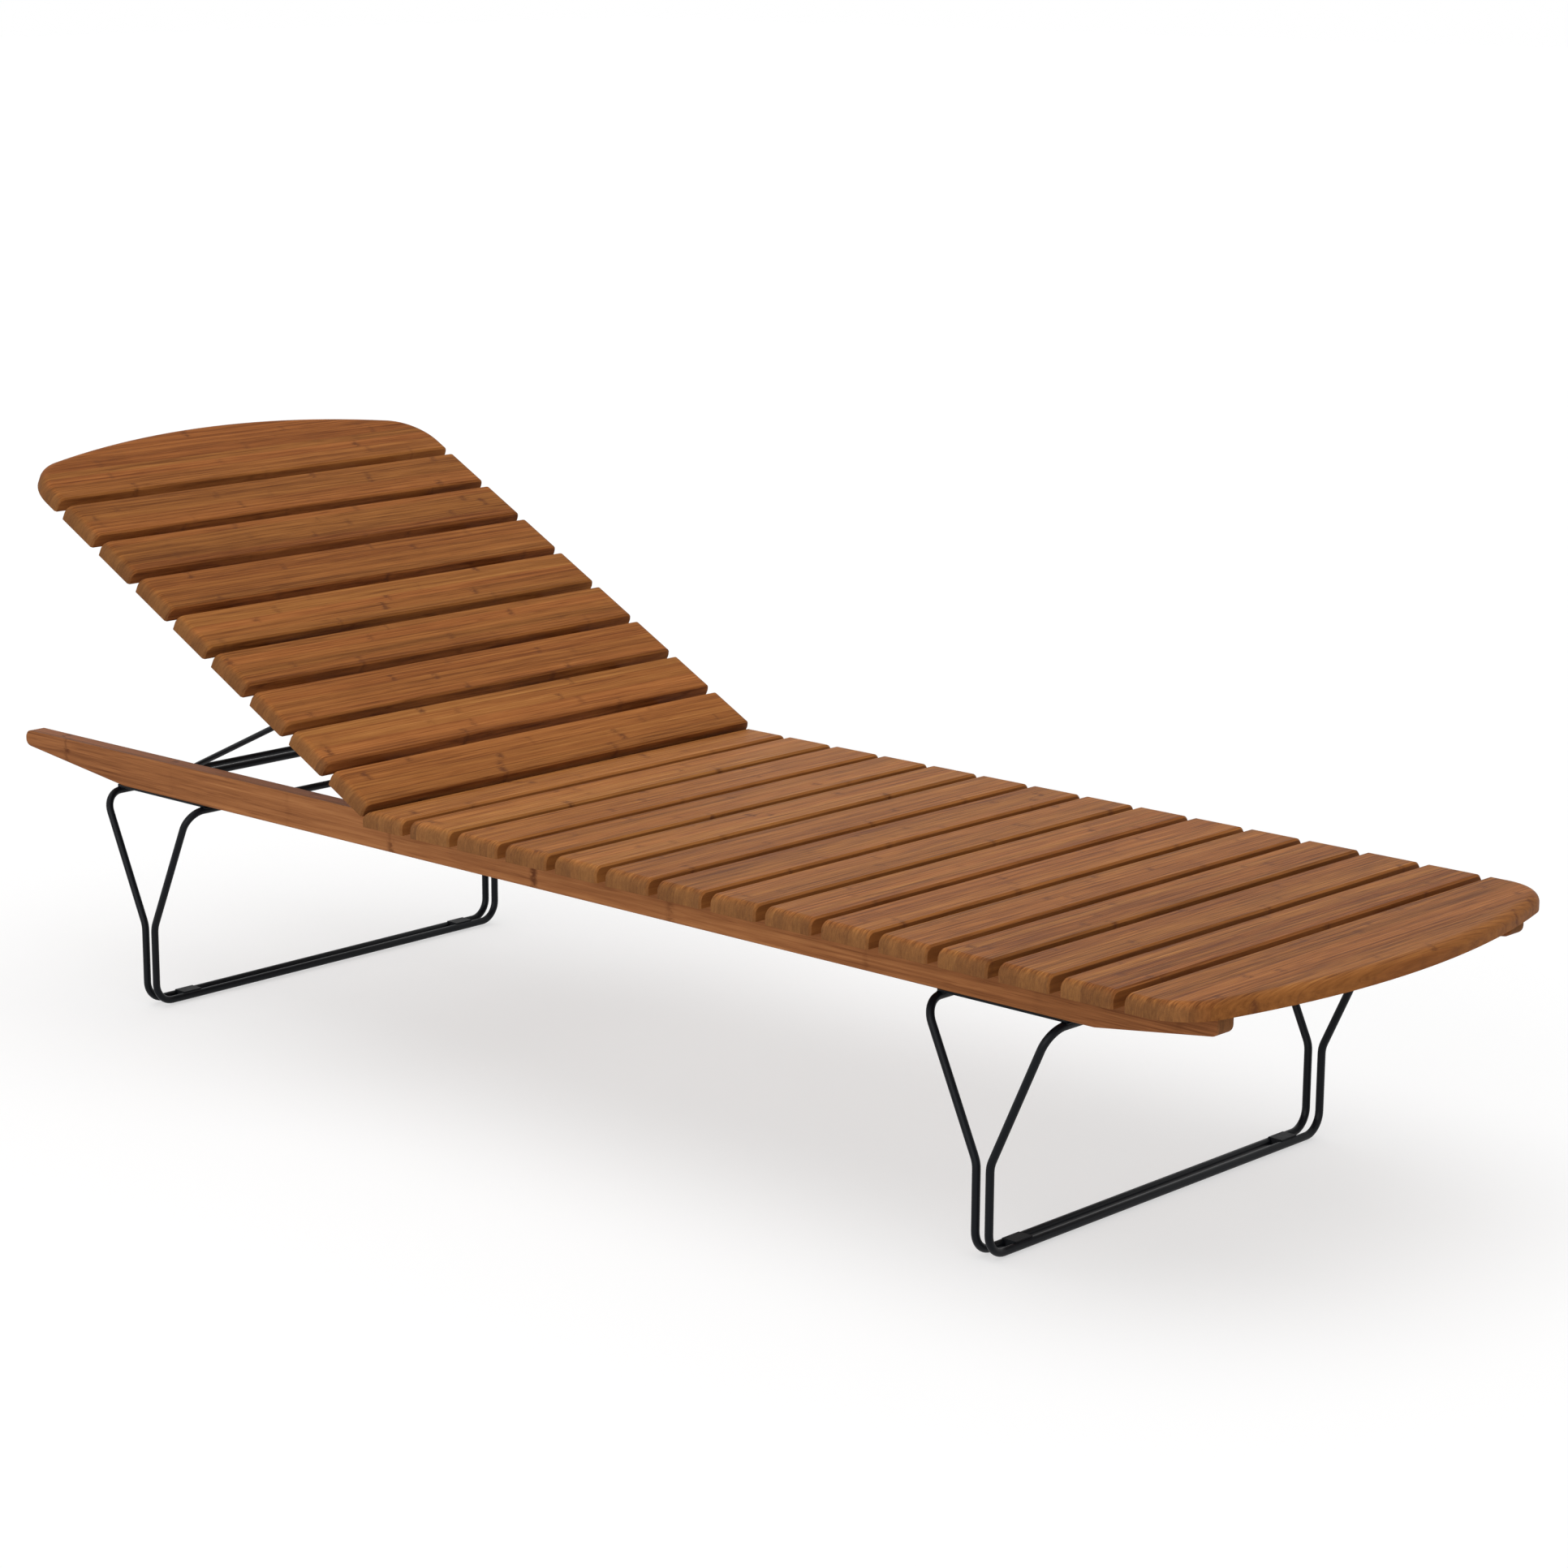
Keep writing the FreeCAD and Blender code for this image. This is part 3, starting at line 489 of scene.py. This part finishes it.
def moulded_plastic(name, colour):
    """Matt plastic with a fine spark-eroded skin."""
    shader = Shader(name)
    place = shader.node("ShaderNodeTexCoord").outputs["Object"]
    skin = shader.noise(place, scale=SKIN_SCALE, detail=1.0)
    scuffs = shader.noise(place, scale=SCUFF_SCALE, detail=4.0)
    lighter = tuple(channel * PLASTIC_LIGHTER for channel in colour)
    shader.feed(shader.sockets["Base Color"], shader.mix(scuffs, colour, lighter))
    rough = shader.math("MULTIPLY_ADD", scuffs, SCUFF_ROUGHNESS, PLASTIC_ROUGHNESS)
    shader.feed(shader.sockets["Roughness"], rough)
    shader.sockets["Specular IOR Level"].default_value = PLASTIC_SHEEN
    shader.bump(skin, strength=0.3, distance=0.0001)
    return shader.material


def dress(names, material):
    for name in names:
        for slot in nodes[name].material_slots:
            slot.link = "OBJECT"
            slot.material = material


seat_wood = bamboo("seat_bamboo", "X", "Y", start=SEAT_END, direction=-1.0, last_slat=LAST_SEAT_SLAT,
                   middle_tone=0.55, contrast=0.85, grain=1.7, side_grain=0.35,
                   hues=(WARM, GOLDEN), sheen=0.028, light_and_tone_fade=0.013, painted_gap_shade=0.14)
back_wood = bamboo("backrest_bamboo", "X", "Y", tilted=True, start=HINGE.y + BACK_SLAT_START,
                   last_slat=LAST_BACK_SLAT, middle_tone=0.48, contrast=0.85, sheen=0.02,
                   light_and_tone_fade=0.010, painted_gap_shade=0.08)
rail_wood = bamboo("rail_bamboo", "Y", "X", start=0.001, middle_tone=0.62, contrast=0.60, grain=0.8,
                   depth_grain=0.7, marks=1.5, hues=(SHEEN_PALE_BROWN, SHEEN_PALE_GOLDEN), sheen=0.025, darker_ends=0.20)
batten_wood = bamboo("batten_bamboo", "Y", "X", tilted=True, start=0.001, depth_grain=0.7)
black_steel = coated_steel("black_steel", (0.0022, 0.0030, 0.0046), roughness=0.40)
dark_hardware = coated_steel("dark_hardware", (0.03, 0.03, 0.032), roughness=0.42, metal=0.8)
glide_plastic = moulded_plastic("glide_plastic", (0.0035, 0.0040, 0.0050))

dress(starting("seat_slat", "foot_slat"), seat_wood)
dress(starting("backrest_slat", "head_slat"), back_wood)
dress(starting("side_rail"), rail_wood)
dress(starting("backrest_batten"), batten_wood)
dress(containing("_rod") + PLATES, black_steel)
dress(starting("support_stay", "catch_rack", "hinge_strap"), black_steel)
dress(starting("hinge_bolts"), dark_hardware)
dress(containing("glide"), glide_plastic)


# Small fixings under the bed: screw heads, weld beads and the plates' true ends

# A screw's sizes, its dome as shares of its radius and height, and its socket with six lobes
SCREW_RADIUS = 0.0042
SCREW_HEIGHT = 0.0024
SUNK = 0.0002
HEAD_SIDES = 24
DOME = [(1.00, 0.0), (1.00, 0.30), (0.93, 0.62), (0.74, 0.90), (0.56, 1.0), (0.50, 1.0)]
SOCKET_RADIUS = 0.38
SOCKET_RISES = (0.92, 0.35)
SOCKET_LOBES = 6
LOBE_DEPTH = 0.16

# Places of the screws
RAIL_X = (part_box("side_rail_left")[0][0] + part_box("side_rail_left")[1][0]) / 2
BATTEN_X = (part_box("backrest_batten_left")[0][0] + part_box("backrest_batten_left")[1][0]) / 2
PLATE_SCREW_OFFSET = 0.045
PLATE_SCREW_RADIUS = 0.005
PLATE_CLEARANCE = 0.006
STRAP_SCREW_REACHES = (0.060, 0.125)
STRAP_SCREW_HEIGHT = 0.0003 + SUNK

# Weld beads
BEAD_SIDES = 8
BEAD_RADIUS = 0.0016
BEAD_LENGTH = 0.022
BEAD_STEPS = 10
BEAD_END = 0.45
BEAD_NECK = 0.92
BEAD_RIPPLE = 0.14
RACK_BEAD_RADIUS = 0.0012
RACK_BEAD_ANGLES = (-36, -24, -12, 0, 12, 24, 36)

# Trimmed plates
PLATE_INSET = 0.001
PLATE_CORNER = 0.005
PLATE_EASE = 0.0004
CORNER_STEPS = 6


def joined_rings(mesh, rings):
    """A closed skin over a row of rings. The first and last ring are filled in."""
    made = [[mesh.verts.new(point) for point in ring] for ring in rings]
    for first, second in zip(made, made[1:]):
        for i in range(len(first)):
            j = (i + 1) % len(first)
            mesh.faces.new((first[i], first[j], second[j], second[i]))
    mesh.faces.new(made[0])
    mesh.faces.new(made[-1])


def screw_head(mesh, place, outward, radius=SCREW_RADIUS, height=SCREW_HEIGHT):
    """A low domed head with a lobed socket. Its foot is sunk a hair into the face that it sits on."""
    turn = Vector(outward).to_track_quat("Z", "Y")
    foot = Vector(place) - Vector(outward).normalized() * SUNK
    profile = [(reach, rise, 0.0) for reach, rise in DOME]
    profile += [(SOCKET_RADIUS, rise, LOBE_DEPTH) for rise in SOCKET_RISES]
    rings = []
    for share, rise, lobes in profile:
        ring = []
        for i in range(HEAD_SIDES):
            angle = 2 * math.pi * i / HEAD_SIDES
            reach = radius * share * (1 + lobes * math.cos(SOCKET_LOBES * angle))
            upright = Vector((reach * math.cos(angle), reach * math.sin(angle), height * rise))
            ring.append(foot + turn @ upright)
        rings.append(ring)
    joined_rings(mesh, rings)


def weld_bead(mesh, points, radius=BEAD_RADIUS):
    """A closed tube along the points, rippled as a weld is and drawn in at its ends."""
    rings = []
    last = len(points) - 1
    for k, point in enumerate(points):
        run = (points[min(k + 1, last)] - points[max(k - 1, 0)]).normalized()
        turn = run.to_track_quat("Z", "Y")
        size = radius * (BEAD_END if k in (0, last) else BEAD_NECK + BEAD_RIPPLE * (k % 2))
        ring = []
        for i in range(BEAD_SIDES):
            angle = 2 * math.pi * i / BEAD_SIDES
            ring.append(point + turn @ Vector((size * math.cos(angle), size * math.sin(angle), 0.0)))
        rings.append(ring)
    joined_rings(mesh, rings)


def fixings(name, body, material, build):
    """One piece made by build, which adds its closed forms to a mesh."""
    mesh = bmesh.new()
    build(mesh)
    bmesh.ops.recalc_face_normals(mesh, faces=mesh.faces)
    data = bpy.data.meshes.new(name)
    mesh.to_mesh(data)
    mesh.free()
    for face in data.polygons:
        face.use_smooth = len(face.vertices) == 4
    data.materials.append(material)
    piece = bpy.data.objects.new(name, data)
    scene.collection.objects.link(piece)
    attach(piece, body)
    return piece


def middle(name):
    low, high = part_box(name)
    return (Vector(low) + Vector(high)) / 2


def tilted_point(x, reach, rise):
    """A point of the backrest, from its distance along the backrest and its height above the hinge."""
    return Vector((x, HINGE.y + reach * math.cos(REST_TILT) - rise * math.sin(REST_TILT),
                   HINGE.z + reach * math.sin(REST_TILT) + rise * math.cos(REST_TILT)))


def rail_underside(y):
    """Height and outward direction of the rails' lower face, which rises towards both ends."""
    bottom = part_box("side_rail_left")[0][2]
    for start, end, top in RAIL_TAPERS:
        part = (y - start) / (end - start)
        if part > 0:
            slope = (top - bottom) / (end - start)
            return bottom + part * (top - bottom), Vector((0.0, slope, -1.0))
    return bottom, Vector((0.0, 0.0, -1.0))


def frame_screws(mesh):
    """Two screws in each plate, and one through each rail into each seat slat that no plate covers."""
    for plate in PLATES:
        centre = middle(plate)
        for offset in (-PLATE_SCREW_OFFSET, PLATE_SCREW_OFFSET):
            place = (centre.x, centre.y + offset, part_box(plate)[0][2])
            screw_head(mesh, place, (0, 0, -1), radius=PLATE_SCREW_RADIUS)
    covered = [(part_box(plate)[0][1] - PLATE_CLEARANCE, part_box(plate)[1][1] + PLATE_CLEARANCE)
               for plate in PLATES]
    for slat in starting("seat_slat", "foot_slat"):
        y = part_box(slat)[1][1] - SLAT_WIDTH / 2
        if any(start < y < end for start, end in covered):
            continue
        height, outward = rail_underside(y)
        for x in (-RAIL_X, RAIL_X):
            screw_head(mesh, (x, y, height), outward)


def backrest_screws(mesh):
    """One screw through each batten into each slat of the backrest, and two through each hinge strap."""
    under = Vector((0.0, math.sin(REST_TILT), -math.cos(REST_TILT)))
    for i in range(LAST_BACK_SLAT + 1):
        reach = BACK_SLAT_START + i * SLAT_PITCH + SLAT_WIDTH / 2
        for x in (-BATTEN_X, BATTEN_X):
            screw_head(mesh, tilted_point(x, reach, BATTEN_UNDERSIDE), under)
    for side in (-1, 1):
        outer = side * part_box("hinge_strap_left")[1][0]
        for reach in STRAP_SCREW_REACHES:
            screw_head(mesh, tilted_point(outer, reach, STRAP_RISE), (side, 0, 0), height=STRAP_SCREW_HEIGHT)


def frame_welds(mesh):
    """Beads on both sides of each rod under each plate, and round each rod where a rack sits on it."""
    for plate in PLATES:
        centre = middle(plate)
        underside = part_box(plate)[0][2]
        steps = [centre.x + BEAD_LENGTH * (k / BEAD_STEPS - 0.5) for k in range(BEAD_STEPS + 1)]
        for run in (-ROD_OFFSET, ROD_OFFSET):
            for side in (-1, 1):
                y = centre.y + run + side * (ROD_RADIUS - BEAD_RADIUS)
                weld_bead(mesh, [Vector((x, y, underside - BEAD_RADIUS)) for x in steps])
    angles = [math.radians(angle) for angle in RACK_BEAD_ANGLES]
    for rack in starting("catch_rack"):
        low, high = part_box(rack)
        for run in (-ROD_OFFSET, ROD_OFFSET):
            y = middle("rear_leg_plate_left").y + run
            for x in (low[0], high[0]):
                arc = [Vector((x, y + ROD_RADIUS * math.sin(angle),
                               low[2] - ROD_RADIUS * (1 - math.cos(angle)))) for angle in angles]
                weld_bead(mesh, arc, radius=RACK_BEAD_RADIUS)


def plate_ring(centre, half_x, inset, height):
    """A plate's outline with round corners, drawn in by an inset."""
    half_y = ROD_OFFSET + ROD_RADIUS - PLATE_INSET
    reach = PLATE_CORNER - inset
    points = []
    for x_side, y_side, first in ((1, 1, 0), (-1, 1, 90), (-1, -1, 180), (1, -1, 270)):
        for step in range(CORNER_STEPS + 1):
            angle = math.radians(first + 90 / CORNER_STEPS * step)
            x = x_side * (half_x - PLATE_CORNER) + reach * math.cos(angle)
            y = y_side * (half_y - PLATE_CORNER) + reach * math.sin(angle)
            points.append((centre.x + x, centre.y + y, height))
    return points


def trimmed_plates():
    """The plates end flush with the leg rods' outer sides, as in the photograph, and have eased edges."""
    for name in PLATES:
        low, high = (Vector(corner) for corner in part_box(name))
        half_x = (high.x - low.x) / 2
        levels = [(PLATE_EASE, low.z), (0.0, low.z + PLATE_EASE),
                  (0.0, high.z - PLATE_EASE), (PLATE_EASE, high.z)]
        rings = [plate_ring(middle(name), half_x, inset, height) for inset, height in levels]
        piece = fixings(name + "_trimmed", "frame", black_steel,
                        lambda mesh: joined_rings(mesh, rings))
        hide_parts(name)


fixings("frame_screws", "frame", dark_hardware, frame_screws)
fixings("backrest_screws", "backrest", dark_hardware, backrest_screws)
fixings("frame_welds", "frame", black_steel, frame_welds)
trimmed_plates()


# Stage

# The sky lights the object less than its white looks to the camera
WHITE = (1.0, 1.0, 1.0, 1.0)
SKY_LIGHT = 0.54

# The floor throws light with its colour, and looks to the camera as the seen colour plus a glow
FLOOR_SIZE = 60
FLOOR_COLOUR = (0.70, 0.70, 0.70)
FLOOR_SEEN = (0.46, 0.46, 0.46)
FLOOR_GLOW = 0.55
FLOOR_ROUGHNESS = 0.9
FLOOR_SHEEN = 0.1


def seen(tree):
    """1 for rays that show the background or its reflection, and 0 for those that light the object."""
    path = tree.node("ShaderNodeLightPath")
    rays = tree.math("MAXIMUM", path.outputs["Is Camera Ray"], path.outputs["Is Glossy Ray"])
    return tree.math("MAXIMUM", rays, path.outputs["Is Transmission Ray"])


def floor():
    bpy.ops.mesh.primitive_plane_add(size=FLOOR_SIZE)
    plane = bpy.context.object
    plane.name = "floor"
    shader = Shader("floor_paint")
    direct = seen(shader)
    shader.feed(shader.sockets["Base Color"], shader.mix(direct, FLOOR_COLOUR, FLOOR_SEEN))
    shader.feed(shader.sockets["Emission Strength"], shader.math("MULTIPLY", direct, FLOOR_GLOW))
    shader.sockets["Emission Color"].default_value = WHITE
    shader.sockets["Roughness"].default_value = FLOOR_ROUGHNESS
    shader.sockets["Specular IOR Level"].default_value = FLOOR_SHEEN
    plane.data.materials.append(shader.material)


def sky():
    world = bpy.data.worlds.new("studio")
    scene.world = world
    world.use_nodes = True
    background = world.node_tree.nodes["Background"]
    background.inputs["Color"].default_value = WHITE
    tree = Tree(world.node_tree)
    strength = tree.node("ShaderNodeMapRange")
    strength.inputs["To Min"].default_value = SKY_LIGHT
    strength.inputs["To Max"].default_value = 1.0
    tree.feed(strength.inputs["Value"], seen(tree))
    tree.feed(background.inputs["Strength"], strength.outputs[0])


def soft_lamp(name, towards, strength, spread):
    """A broad soft lamp, far away, so that the floor is evenly lit."""
    data = bpy.data.lights.new(name, "SUN")
    data.energy = strength
    data.angle = math.radians(spread)
    made = bpy.data.objects.new(name, data)
    scene.collection.objects.link(made)
    made.rotation_euler = (-Vector(towards)).to_track_quat("-Z", "Y").to_euler()


floor()
sky()
soft_lamp("key", towards=(0.0, 0.05, 1.0), strength=1.15, spread=70.0)
soft_lamp("fill", towards=(-1.0, -0.25, 0.18), strength=1.45, spread=50.0)


# Camera, found by fitting the photograph

IMAGE_SIZE = 1932
FOCAL_PIXELS = 4814.5
CENTRE_X = 882.8
CENTRE_Y = 1048.9
SENSOR = 36.0
FAR_LIMIT = 100.0
CAMERA_AZIMUTH = math.radians(-46.423)
CAMERA_ELEVATION = math.radians(13.868)
CAMERA_ROLL = math.radians(0.088)
CAMERA_PLACE = Vector((-3.5500, -3.3771, 1.5069))


def camera():
    data = bpy.data.cameras.new("photo_camera")
    data.sensor_fit = "HORIZONTAL"
    data.sensor_width = SENSOR
    data.lens = FOCAL_PIXELS / IMAGE_SIZE * SENSOR
    data.shift_x = (IMAGE_SIZE / 2 - CENTRE_X) / IMAGE_SIZE
    data.shift_y = (CENTRE_Y - IMAGE_SIZE / 2) / IMAGE_SIZE
    data.clip_end = FAR_LIMIT
    made = bpy.data.objects.new("photo_camera", data)
    scene.collection.objects.link(made)
    back = Vector((math.sin(CAMERA_AZIMUTH) * math.cos(CAMERA_ELEVATION),
                   -math.cos(CAMERA_AZIMUTH) * math.cos(CAMERA_ELEVATION),
                   math.sin(CAMERA_ELEVATION)))
    right = Vector((math.cos(CAMERA_AZIMUTH), math.sin(CAMERA_AZIMUTH), 0.0))
    up = back.cross(right)
    rolled_right = right * math.cos(CAMERA_ROLL) + up * math.sin(CAMERA_ROLL)
    rolled_up = up * math.cos(CAMERA_ROLL) - right * math.sin(CAMERA_ROLL)
    turn = Matrix((rolled_right, rolled_up, back)).transposed()
    made.matrix_world = Matrix.Translation(CAMERA_PLACE) @ turn.to_4x4()
    scene.camera = made


camera()
scene.view_settings.view_transform = "Standard"
